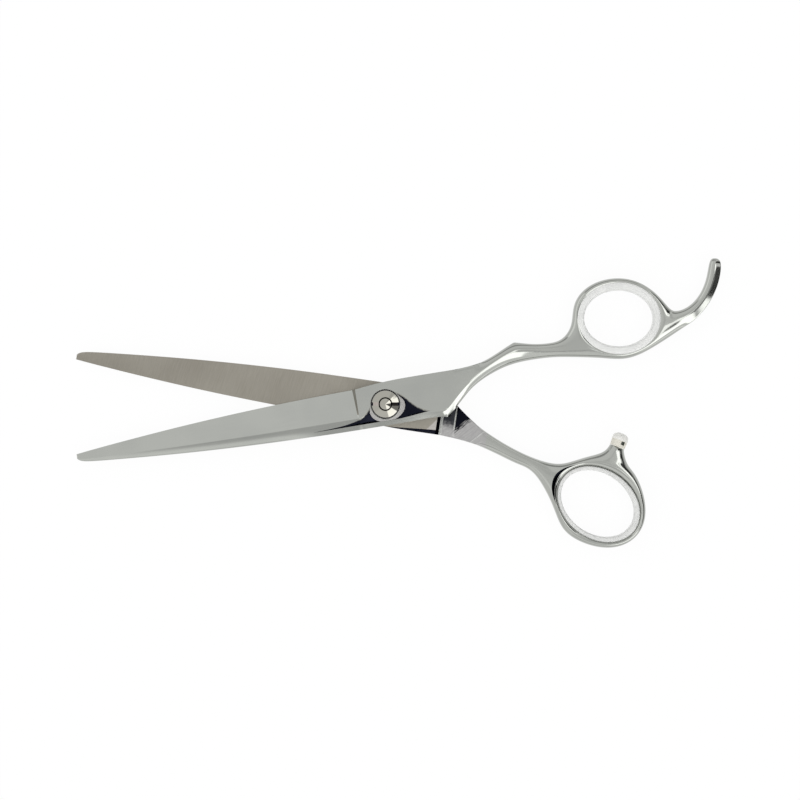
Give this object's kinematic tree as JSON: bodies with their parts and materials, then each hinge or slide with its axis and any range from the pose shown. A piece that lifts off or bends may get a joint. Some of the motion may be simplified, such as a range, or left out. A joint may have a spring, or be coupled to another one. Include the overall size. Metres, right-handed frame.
{
  "type": "hair cutting shears",
  "caption": "Offset-handle hair cutting shears: two pivoted convex blades, slotted tension nut, ringed handles with soft inserts, a little-finger tang and a stop bumper.",
  "frame": {"origin": "on the pivot axis, at the back face of the pivot bolt's head, which the shears lie on", "axes": "+Z out of the front face along the pivot axis, -X towards the blade tips, +Y towards the finger ring's side"},
  "size_m": [0.1905, 0.0856, 0.0077],
  "materials": {
    "polished_steel": "polished, with a satin ground inner face",
    "turned_steel": "turned",
    "spring_steel": "tempered",
    "bearing_bronze": "turned",
    "nylon": "natural nylon",
    "clear_silicone": "milky silicone rubber",
    "clear_plastic": "clear soft plastic"
  },
  "bodies": {
    "finger_half": {"finger_blade": "polished_steel", "finger_insert": "clear_silicone", "pivot_bush": "bearing_bronze", "friction_washer": "nylon"},
    "thumb_half": {"thumb_blade": "polished_steel", "thumb_insert": "clear_silicone", "bumper": "clear_plastic", "bumper_stud": "turned_steel", "pivot_bolt": "turned_steel", "glide_washer": "nylon"},
    "tension_adjuster": {"tension_nut": "turned_steel", "spring_washer": "spring_steel"}
  },
  "joints": [
    {"name": "blade_pivot", "type": "hinge", "parent": "finger_half", "child": "thumb_half", "pos_m": [0, 0, 0.00375], "axis": [0, 0, -1], "range_deg": [-17.7, 60]},
    {"name": "tension_turn", "type": "hinge", "parent": "thumb_half", "child": "tension_adjuster", "pos_m": [0, 0, 0.007], "axis": [0, 0, 1], "range_deg": [-180, 180]}
  ]
}
